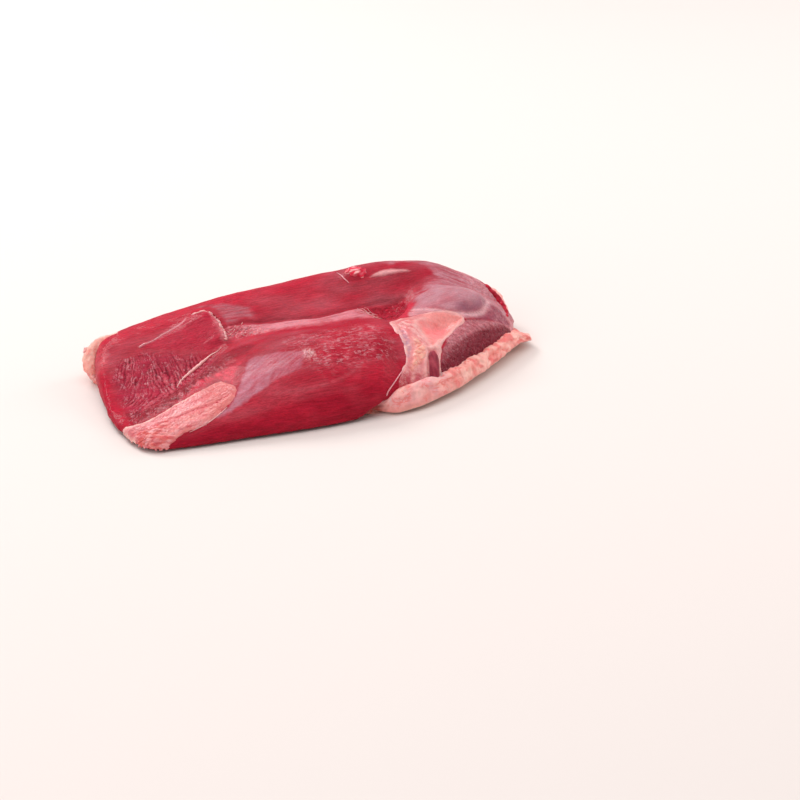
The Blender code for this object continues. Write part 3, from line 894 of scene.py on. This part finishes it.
THREADS = (
    thread(((-72.2, 30.1), (-71.4, 30.3), (-70.2, 30.7), (-69.0, 31.0), (-68.2, 31.1)), 0.05, 0.42),
    thread(((-68.5, 31.0), (-65.2, 31.5), (-60.6, 32.9), (-56.5, 33.8)), 0.03, 0.17),
    thread(((24.5, -39.2), (20, -42.6), (15.5, -45.6), (11.5, -47.9), (9.5, -48.9)), 0.1, 0.28),
    thread(((24, 15.5), (25.8, 11), (27.2, 6.5)), 0.12, 0.18),
    thread(((26, 17), (27.8, 12), (29.8, 8.0)), 0.12, 0.16),
    thread(((22.5, 12.5), (24.3, 8.5), (25.8, 3.5)), 0.12, 0.16),
    thread(((28, 17.5), (30, 13.2), (31.5, 9.5)), 0.12, 0.14),
    thread(((24.3, 40), (25, 36), (25.4, 33), (26.4, 30.2)), 0.1, 0.30),
    thread(((-15, -23.5), (-14.2, -26), (-13.6, -29)), 0.0, 0.24),
)
threads = strands("membrane_threads", THREADS, THREAD_PINK, sides=1)
threads.data.materials.append(sinew.material)
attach(threads, "root")

# Keel nodule.
# A loose lump of red meat in a white membrane, left standing on the crest beside a notch. It is a
# clump of balls, grown together and creased.


def clump(name, balls, voxel, passes):
    """Balls at (x, y, z, radius) in mm, grown together into one soft, closed lump."""
    bpy.ops.object.select_all(action="DESELECT")
    bpy.ops.mesh.primitive_ico_sphere_add(subdivisions=3, radius=MM)
    first = bpy.context.object
    copies = []
    for x, y, z, radius in balls:
        ball = bpy.data.objects.new(name, first.data.copy())
        ball.location = (x * MM, y * MM, z * MM)
        ball.scale = (radius, radius, radius)
        bpy.context.scene.collection.objects.link(ball)
        copies.append(ball)
    bpy.data.objects.remove(first)
    for ball in copies:
        ball.select_set(True)
    bpy.context.view_layer.objects.active = copies[0]
    bpy.ops.object.transform_apply(location=True, rotation=True, scale=True)
    bpy.ops.object.join()
    piece = bpy.context.object
    piece.name = name
    remesh(piece, voxel, passes)
    return piece


NODULE = (
    (28.3, 36.3, -0.9, 1.9), (30.6, 35.8, -0.8, 2.2), (32.8, 34.6, -0.8, 2.1), (31.2, 33.2, -1.0, 2.0),
    (34.4, 33.0, -0.9, 1.7), (29.3, 33.6, -1.2, 1.7), (33.0, 31.4, -1.1, 1.5), (35.8, 34.6, -1.0, 1.2),
)
balls = [(*on_flesh(x, y, lift), radius) for x, y, lift, radius in NODULE]
nodule = clump("keel_nodule", balls, voxel=0.35, passes=4)
at = places(nodule)
swell(nodule, 0.25 * (creases(at, (2.4, 1.2, 1.6), 51) - 0.5))
tint(nodule, 1.3 * layered(
    BRIGHT_RED,
    (0.3 + lumps(at, (2.2, 1.1, 1.6), 52), ROSE),
    (0.75 * ease(2 * lumps(at, (3.5, 0.9, 2.5), 53)), (0.78, 0.42, 0.42)),
))
paint(nodule, "smooth_film", 0.5)
nodule.data.materials.append(flesh.material)
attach(nodule, "root")

# Wing joint.
# Where the wing was cut off: a pink socket lined with smooth membrane, forked white tissue below it,
# a lilac membrane along the muscle's cut end, and a pocket of creamy fat lobules.

FRAYED = (
    (31.5, -11), (37.5, -11.2), (39, -14), (38.8, -20), (39, -26), (38.6, -30), (36, -28.5), (34.6, -23),
    (32.8, -17), (30.5, -13.5),
)
LILAC_STRIP = (
    (28.5, -9.8), (31, -15), (29.3, -18), (27.6, -22), (26.4, -28), (24.6, -33.5), (22.4, -38.8),
    (26, -38.5), (29.2, -34), (32, -28.5), (33, -22.5), (32.6, -17),
)
FAT_POCKET = (
    (33.6, -23.4), (36.1, -26), (37, -30), (36.2, -34), (32.6, -37.6), (27.4, -40.8), (24.6, -40.8),
    (27, -37.5), (31, -31.3), (32.5, -27),
)
LILAC_POOL = ((29, -42.5), (33.5, -41.5), (37.7, -41), (39.5, -42.5), (34, -45), (27, -47), (24, -47))
WHITE_EDGE = (
    (7.5, -49.6), (11.5, -47.6), (15.5, -45.2), (20, -42.2), (24.4, -38.4), (27.2, -33), (29, -26.5),
    (30, -19), (31, -12.5),
)
FORK = ((36.6, -29.5), (38, -31.6), (41.5, -31.6), (45, -28.6))
FORK_LEFT = ((37, -31), (36, -34), (33.5, -38), (32, -42))
FORK_RIGHT = ((41.5, -31.6), (42.6, -34), (40.4, -38), (39, -42))
SOCKET_PINK = (0.78, 0.12, 0.15)
TISSUE_PINK = (0.70, 0.19, 0.20)
PALE_TISSUE = (0.80, 0.40, 0.38)
MEMBRANE_LILAC = (0.50, 0.23, 0.29)
LINING_THICKNESS = 0.8

joint_lining = peel("wing_joint_lining", JOINT, margin=1.5, cuts=2)
at = places(joint_lining)
x, y, z = at.T
inside = within(JOINT, at) + 0.15 * lumps(at, 2, 61) + 0.5 * lumps(at, 6, 62)
ragged = 0.5 * lumps(at, 2.4, 63) + 0.4 * lumps(at, 6, 64)
hollow = within(HOLLOW, at) + 0.4 * ragged
socket = ease((hollow + 0.5) / 4)
socket_rim = peak(hollow, 0.7) * ease((x - 36) / 3)
frayed = zone(FRAYED, 2, 0.8)
lilac = zone(LILAC_STRIP, 1.2, 0.5)
pocket = zone(FAT_POCKET, 1.6, 0.6)
pool = zone(LILAC_POOL, 1.5, 0.5)
white_edge = groove(WHITE_EDGE, at, 0.6) * (0.75 + 0.6 * lumps(at, 3, 58))
fork = np.maximum(groove(FORK, at, 1.0), groove(FORK_RIGHT, at, 1.1))
fork = np.maximum(fork, 0.8 * groove(FORK_LEFT, at, 0.8))
low = ease((-38 - y) / 4) * (1 - pool) * (1 - pocket)
pocket_lumps = creases(at, (2.6, 2.2, 2.2), 65)
strings = creases(turned(at, -68), (9, 1.5, 2.5), 66)
thin_end = (0.45 + 0.35 * ease((x - 30) / 6)) * (0.4 + 0.6 * ease((49 - x) / 6))
relief = thin_end * edge_rise(inside, 2.0) - 0.1 * socket + 0.18 * socket_rim
relief += 0.8 * fork + 0.25 * white_edge
relief += frayed * (0.35 + 0.5 * (strings - 0.5)) + pocket * (0.6 + 0.45 * (pocket_lumps - 0.5))
relief += low * 0.40 * (wrinkles(at, 25, 5, 1.8, 67) - 0.6) * ease((inside - 1) / 2) - 0.3 * lilac
relief += 0.2 * socket * lumps(at, 4, 69) + 0.12 * lumps(at, 2, 68) * ease(inside / 2)
relief += 0.3 * ease((27 - x) / 8) * ease(inside / 0.8)
swell(joint_lining, relief)
deep = ease((hollow - 0.5) / 4) * ease((60 - x) / 10)
wing_lip = ease((x - 43) / 4)
lilac_film = np.maximum(lilac, pool) * (0.75 + 0.5 * lumps(turned(at, -68), (4, 1.2, 1.2), 73))
dark_edge = groove([(x + 2.3, y - 1.0) for x, y in WHITE_EDGE[:4]], at, 1.3)
tint(joint_lining, layered(
    TISSUE_PINK,
    (0.3 + 0.7 * lumps(at, 4, 70), PALE_TISSUE),
    (low * (0.55 + 0.6 * lumps(at, 2.5, 71)), ROSE),
    (0.9 * deep * (0.8 + 0.6 * lumps(at, (5, 4, 4), 72)), (0.95, 0.23, 0.235)),
    (0.7 * socket * (1 - deep), (0.92, 0.25, 0.22)),
    (0.75 * frayed * strings + 0.7 * socket_rim + 0.9 * fork, PALE_TISSUE),
    (0.55 * frayed * (1 - strings), SOCKET_PINK),
    (0.8 * wing_lip * (1 - socket) * ease((inside - 0.6) / 0.5), (0.90, 0.29, 0.27)),
    (0.8 * wing_lip * peak(inside - 0.2, 0.5), PALE_TISSUE),
    (pocket, (0.80, 0.36, 0.28)),
    (0.5 * pocket * (1 - pocket_lumps), SOCKET_PINK),
    (0.9 * lilac_film, MEMBRANE_LILAC),
    (0.7 * lilac * ease(2.5 * lumps(at, (2.4, 1.2, 1.2), 74) - 0.5), PALE_TISSUE),
    (0.8 * dark_edge, (0.45, 0.03, 0.05)),
    (0.8 * white_edge, PALE_TISSUE),
))
paint(joint_lining, "stringy", frayed + 0.7 * pocket + 0.6 * low + 0.3 * socket + 0.3 * lilac)
modify(joint_lining, "SOLIDIFY", thickness=LINING_THICKNESS * MM, offset=-1)

lining = Finish("joint_membrane")
speckle = lining.grain(0.8, (1.6, 1, 1), turn=-70, detail=4)
shade = lining.between(speckle, 0.3, 0.7, 0.92, 1.06)
strings = lining.hair_lines(1.3, (3, 1, 1), -62, "stringy")
colour = lining.scaled(lining.painted("tint", "Color"), shade)
colour = lining.mix(lining.times(strings, 0.6), colour, (0.92, 0.58, 0.55, 1))
lining.surface(colour, lining.between(speckle, 0.35, 0.65, 0.30, 0.42))
lining.fix(**FATTY)
lining.dress(joint_lining, lining.plus(speckle, lining.times(strings, 0.5)), depth=0.15)
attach(joint_lining, "root")

# Small muscle.
# The cut stump of a thin muscle in its sheath, standing between the forked tissue and the fat. It is
# a ball drawn out from its top to its foot.

STUMP_TOP, STUMP_FOOT = (38.9, -33.4, 1.5), (34.8, -42.6, 1.9)
STUMP_WIDTH, STUMP_DEPTH = 2.6, 1.9

bpy.ops.object.select_all(action="DESELECT")
bpy.ops.mesh.primitive_uv_sphere_add(segments=64, ring_count=40, radius=1)
stump = bpy.context.object
stump.name = "joint_small_muscle"
top, foot = on_flesh(*STUMP_TOP), on_flesh(*STUMP_FOOT)
run = (foot - top) / 2
across = run.cross(Vector((0, -0.5, 1))).normalized()
lifted = across.cross(run).normalized()
if lifted.z < 0:
    lifted = -lifted
ball = places(stump) * MM
shape = ball[:, 2:3] * np.array(run) + ball[:, 0:1] * STUMP_WIDTH * np.array(across)
shape = shape + ball[:, 1:2] * STUMP_DEPTH * np.array(lifted) + np.array((top + foot) / 2)
push(stump, shape)
edit(stump, bpy.ops.mesh.normals_make_consistent, inside=False)
at = places(stump)
swell(stump, 0.15 * creases(turned(at, 70), (6, 1.0, 2.5), 81))
sheath = ease((np.abs(ball[:, 0]) - 0.72) / 0.2)
tint(stump, layered(
    (0.24, 0.022, 0.042),
    (0.15 + 0.4 * lumps(at, (1.2, 4, 4), 82), ROSE),
    (0.7 * sheath, PALE_TISSUE),
))
paint(stump, "smooth_film", 0.6)
stump.data.materials.append(flesh.material)
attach(stump, "root")

# Wing rim.
# The thin torn edge of the muscle at its wing end, bright red and uneven. It is a cord of balls, grown
# together.

WING_RIM = (
    (83.5, 24.3, 21.4, 0.5), (86.2, 21.5, 19.7, 1.05), (89.0, 18.5, 17.3, 1.4), (91.3, 14.5, 14.0, 1.5),
    (92.0, 9.0, 11.2, 1.3), (90.8, 3.5, 10.6, 0.9), (88.5, 0, 11, 0.5),
)


def rope(name, points, voxel):
    """A closed, uneven cord of flesh or fat through points at (x, y, z, radius) in mm."""
    samples = curve_through(points, steps=9)
    return clump(name, [tuple(sample) for sample in samples], voxel, passes=3)


wing_rim = rope("wing_rim", WING_RIM, voxel=0.4)
at = places(wing_rim)
swell(wing_rim, 0.35 * lumps(at, 1.8, 85))
tint(wing_rim, layered(BRIGHT_RED, (0.3 + lumps(at, 2, 86), DEEP_RED)))
paint(wing_rim, "smooth_film", 0.4)
wing_rim.data.materials.append(flesh.material)
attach(wing_rim, "root")

# Skin and fat.
# The layer that the muscle was cut off with: thin skin underneath and soft white fat on top of it.
# It shows as a curled roll along the outer edge and where it is folded up at the tail's corner.

SKIN_VOXEL = 0.8
SKIN_SWELL = 0.75
HIDDEN_KEPT = 0.08
FLAP = (
    (0, -46), (12, -43), (30, -38), (50, -30), (70, -18), (86, -6), (98, -4), (98, -22), (60, -48),
    (20, -56), (0, -52),
)
FLAP_LEAN = 0.5
INWARD = (-0.44, 0.90, 0)
TUCK = 5
FLAP_RISE = ((8, 0.30), (32, 0.28), (42, 0.16), (50, 0.12), (80, 0.12), (88, 0.0), (97, -0.6))
FAT_WHITE = (1.0, 0.52, 0.455)
UNDERSKIN = (0.84, 0.50, 0.42)

skin = fine_copy("skin_and_fat", "skin_and_fat_layer", SKIN_VOXEL, passes=5)
at, up = places(skin), facing(skin)[:, 2]
x, y, z = at.T
edit(skin, bpy.ops.mesh.decimate, (up > 0.9) & (y > -36) & (y < 44) & (x < 84), ratio=HIDDEN_KEPT)
at = places(skin)
x, y, z = at.T
edit(skin, bpy.ops.mesh.subdivide, (within(FLAP, at) > 0) | ((x < -80) & (y > 34)), number_cuts=1)
soften(skin, 2)
at, out = places(skin), facing(skin)
x, y, z = at.T
up = out[:, 2]
under = ease((-0.6 - up) / 0.3)
granular = ease((x - 38 + 4 * lumps(at, 8, 91)) / 14)
relief = 0.30 * lumps(at, (10, 6, 5), 92) + 0.12 * lumps(at, 3, 93)
relief += granular * (
    0.28 * lumps(at, (8, 4, 4), 89) + 0.35 * lumps(at, (2.2, 2.0, 2.0), 94) + 0.16 * lumps(at, 1.1, 95)
)
relief += (1 - granular) * 0.25 * (creases(turned(at, 12), (9, 2.0, 2.0), 96) - 0.6)
relief += granular * 0.25 * (creases(at, (2.0, 1.7, 1.7), 100) - 0.6)
relief = relief * (1 - under) + SKIN_SWELL * ease((up - 0.2) / 0.4)
raised = at + out * relief[:, None]

# Towards the wing end the outer edge is drawn up into the curled roll and leans in over the flesh.
# Before that it is tucked in under the muscle.
rise = ease((within(FLAP, at) + 1) / 3) * ease((x - 8) / 12) * ease((100 - x) / 14)
flap_rise = np.interp(x, [place for place, _ in FLAP_RISE], [share for _, share in FLAP_RISE])
raised[:, 2] *= 1 + np.where(x > 85, 1, rise) * (flap_rise + 0.04 * rise * lumps(at, (7, 30, 30), 90))
raised += (rise * FLAP_LEAN * np.maximum(z - 1, 0))[:, None] * INWARD
raised[:, 1] += TUCK * (1 - ease((x - 8) / 9)) * ease((-44 - y) / 3)
push(skin, raised)
meat_stain = ease((12 - x) / 5) * ease((-40 - y) / 3) * ease((z - 0.4) / 0.6)
tint(skin, layered(
    FAT_WHITE,
    (0.30 + 0.6 * lumps(at, (5, 3, 3), 97), (0.86, 0.26, 0.23)),
    (granular * 0.7 * ease(2.2 * lumps(at, (5, 2.2, 2.2), 98) - 0.3), (0.80, 0.13, 0.13)),
    ((1 - granular) * (0.45 + 0.3 * lumps(at, (7, 3, 3), 99)), (0.80, 0.40, 0.43)),
    (meat_stain, (0.42, 0.04, 0.05)),
    # Painted warm shade towards the skin's foot.
    (0.55 * (1 - ease((z - 1.0) / 4.5)), (0.88, 0.27, 0.22)),
    (under, UNDERSKIN),
))
paint(skin, "under", under)
paint(skin, "veined", 1 - under)

rind = Finish("skin_and_fat")
speckle = rind.grain(1.6, detail=4)
cells = rind.add("ShaderNodeTexVoronoi", {"Vector": rind.where, "Scale": 1 / (4.2 * MM)})
pores = rind.between(cells.outputs["Distance"], 0.10, 0.22, 1.0, 0.0)
pores = rind.times(pores, rind.painted("under"))
shade = rind.between(speckle, 0.3, 0.7, 0.92, 1.06)
shade = rind.minus(shade, rind.times(pores, 0.12))
colour = rind.scaled(rind.painted("tint", "Color"), shade)
veins = rind.hair_lines(3.2, (2, 1, 1), 15, "veined")
colour = rind.mix(rind.times(veins, 0.7), colour, (0.80, 0.14, 0.13, 1))
rind.surface(colour, rind.between(speckle, 0.35, 0.65, 0.38, 0.50))
rind.fix(**FATTY)
rind.dress(skin, rind.plus(rind.times(speckle, 0.6), pores), depth=0.35)
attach(skin, "root")
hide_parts("skin_and_fat")

# The folded corner fills out into a soft roll of fat that laps over the muscle's keel corner.
TAIL_ROLL = (
    (-89.3, 41.5, 2.3, 1.5), (-90.8, 42.3, 4.8, 2.6), (-91.2, 43.5, 8.0, 3.1), (-90.6, 44.8, 11.2, 2.9),
    (-88.4, 45.6, 13.9, 2.4), (-85.0, 45.4, 16.2, 2.0), (-80.0, 44.8, 17.9, 1.6), (-74.0, 43.8, 19.2, 1.0),
)
tail_roll = rope("tail_fat_roll", TAIL_ROLL, voxel=0.45)
at = places(tail_roll)
x, y, z = at.T
swell(tail_roll, (0.7 * lumps(at, 3.4, 101) + 0.3 * lumps(at, 1.6, 102)) * ease((-72 - x) / 14))
tint(tail_roll, layered(
    (1.0, 0.54, 0.46),
    (0.15 + 0.6 * lumps(at, 4, 103), (0.95, 0.30, 0.26)),
    (0.6 * ease((7 - z) / 5), (0.88, 0.20, 0.15)),
))
tail_roll.data.materials.append(fat.material)
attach(tail_roll, "root")

# The torn edge of the skin stands up as a narrow pale line behind the wing rim.
WING_EDGE = (
    (90.0, 27.5, 15.0, 0.8), (92.5, 23.5, 14.6, 1.3), (93.6, 18.5, 13.2, 1.4), (94.0, 13.5, 10.5, 1.2),
    (93.5, 8, 8, 0.8),
)
wing_edge = rope("wing_fat_edge", WING_EDGE, voxel=0.4)
at = places(wing_edge)
swell(wing_edge, 0.3 * lumps(at, 2, 105))
tint(wing_edge, layered(FAT_WHITE, (0.3 + 0.6 * lumps(at, 3, 106), FAT_PINK)))
wing_edge.data.materials.append(fat.material)
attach(wing_edge, "root")

# Table, light and camera.
# A pale table under soft studio light from above, behind and both ends, seen from the outer tail corner.

TABLE_BEIGE = (0.79, 0.71, 0.68, 1)
WARM_WHITE = (1, 0.985, 0.97, 1)

bpy.ops.object.select_all(action="DESELECT")
bpy.ops.mesh.primitive_plane_add(size=8, location=(0, 0, 0))
table = bpy.context.object
table.name = "table"
pale = Finish("pale_table")
pale.fix(Base_Color=TABLE_BEIGE, Roughness=0.8, Specular_IOR_Level=0.1)
table.data.materials.append(pale.material)

world = bpy.data.worlds.new("studio")
world.use_nodes = True
background = world.node_tree.nodes["Background"]
background.inputs["Color"].default_value = WARM_WHITE
background.inputs["Strength"].default_value = 0.40
bpy.context.scene.world = world


def softbox(name, place, size, watts):
    """A square light that faces the fillet."""
    light = bpy.data.lights.new(name, "AREA")
    light.shape = "SQUARE"
    light.size = size
    light.energy = watts
    lamp = bpy.data.objects.new(name, light)
    lamp.location = place
    lamp.rotation_euler = (-Vector(place)).to_track_quat("-Z", "Y").to_euler()
    bpy.context.scene.collection.objects.link(lamp)


softbox("window", (-0.25, 0.85, 0.85), size=0.5, watts=8)
softbox("ceiling", (0.05, -0.1, 1.3), size=1.4, watts=9)
softbox("tail_side", (-1.0, -0.4, 0.6), size=0.8, watts=3.6)
softbox("wing_side", (1.05, -0.05, 0.55), size=0.8, watts=4.5)

EYE = (-0.3189, -0.9081, 0.4470)
LENS, SENSOR = 109.5, 36
YAW, PITCH, ROLL = math.radians(68.63), math.radians(-25.52), math.radians(-2.445)
ahead = Vector((math.cos(YAW) * math.cos(PITCH), math.sin(YAW) * math.cos(PITCH), math.sin(PITCH)))
view = ahead.to_track_quat("-Z", "Y").to_matrix() @ Matrix.Rotation(ROLL, 3, "Z")
lens = bpy.data.cameras.new("camera")
lens.lens = LENS
lens.sensor_width = SENSOR
camera = bpy.data.objects.new("camera", lens)
camera.matrix_world = Matrix.Translation(EYE) @ view.to_4x4()
bpy.context.scene.collection.objects.link(camera)
bpy.context.scene.camera = camera
bpy.context.scene.view_settings.view_transform = "Standard"
